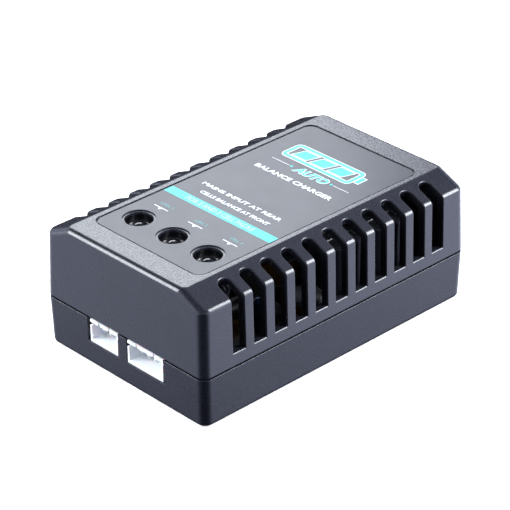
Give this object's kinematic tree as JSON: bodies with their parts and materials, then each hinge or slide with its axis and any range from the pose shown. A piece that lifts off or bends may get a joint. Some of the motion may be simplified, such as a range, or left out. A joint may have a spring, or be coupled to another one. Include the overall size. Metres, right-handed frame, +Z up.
{
  "type": "balance battery charger",
  "caption": "Compact mains balance charger with a two-part vented plastic casing, cell lamps on the crown, balance sockets in front and a figure-eight inlet behind.",
  "frame": {"origin": "middle of the underside, on the surface that the charger stands on", "axes": "-Y faces out of the balance sockets, +Y out of the mains inlet along the length, +X to the right seen from the sockets, +Z up through the lamps"},
  "size_m": [0.056, 0.088, 0.034],
  "materials": {
    "casing_plastic": "fine spark-eroded grain",
    "label_film": "smooth satin film",
    "lamp_lens": "smoked clear epoxy",
    "lamp_spacer_nylon": "moulded",
    "tinned_wire": "tinned copper",
    "header_nylon": "natural nylon",
    "contact_metal": "tinned brass",
    "inlet_plastic": "satin",
    "inlet_pin_metal": "nickel plate",
    "board_laminate": "paper laminate",
    "ferrite": "ground ferrite",
    "bobbin_plastic": "moulded",
    "winding_wrap": "polyester tape over copper",
    "core_tape": "polyester tape",
    "capacitor_sleeve": "shrunk sleeve, aluminium top",
    "fuse_body": "ceramic tube",
    "diode_epoxy": "moulded epoxy",
    "resistor_lacquer": "lacquer with colour bands",
    "thermistor_coat": "dipped coat",
    "disc_coat": "dipped coat",
    "choke_copper": "enamelled copper",
    "optocoupler_epoxy": "moulded epoxy",
    "sink_aluminium": "rolled sheet",
    "screw_steel": "black zinc"
  },
  "bodies": {
    "root": {"upper_casing": "casing_plastic", "lower_casing": "casing_plastic", "top_label": "label_film", "status_lamp_1": "lamp_lens", "status_lamp_2": "lamp_lens", "status_lamp_3": "lamp_lens", "lamp_spacer_1": "lamp_spacer_nylon", "lamp_spacer_2": "lamp_spacer_nylon", "lamp_spacer_3": "lamp_spacer_nylon", "lamp_leads_1": "tinned_wire", "lamp_leads_2": "tinned_wire", "lamp_leads_3": "tinned_wire", "balance_socket_3_way": "header_nylon", "balance_socket_4_way": "header_nylon", "socket_contacts_3_way": "contact_metal", "socket_contacts_4_way": "contact_metal", "mains_inlet": "inlet_plastic", "inlet_pins": "inlet_pin_metal", "main_board": "board_laminate", "transformer_core": "ferrite", "transformer_bobbin": "bobbin_plastic", "transformer_winding": "winding_wrap", "transformer_tape": "core_tape", "transformer_pins": "tinned_wire", "bulk_capacitor_rear": "capacitor_sleeve", "bulk_capacitor_front": "capacitor_sleeve", "output_capacitor_1": "capacitor_sleeve", "output_capacitor_2": "capacitor_sleeve", "output_capacitor_3": "capacitor_sleeve", "mains_fuse": "fuse_body", "inrush_thermistor": "thermistor_coat", "rectifier_diode_1": "diode_epoxy", "rectifier_diode_2": "diode_epoxy", "rectifier_diode_3": "diode_epoxy", "rectifier_diode_4": "diode_epoxy", "output_diode_1": "diode_epoxy", "output_diode_2": "diode_epoxy", "output_diode_3": "diode_epoxy", "charge_transistor_1": "diode_epoxy", "charge_transistor_2": "diode_epoxy", "charge_transistor_3": "diode_epoxy", "sense_resistor_1": "resistor_lacquer", "sense_resistor_2": "resistor_lacquer", "sense_resistor_3": "resistor_lacquer", "filter_choke_core": "ferrite", "filter_choke_coil": "choke_copper", "suppression_capacitor": "disc_coat", "optocoupler": "optocoupler_epoxy", "control_chip": "diode_epoxy", "heat_sink": "sink_aluminium", "power_transistor": "diode_epoxy", "transistor_screw": "tinned_wire", "casing_screws": "screw_steel"}
  },
  "joints": []
}
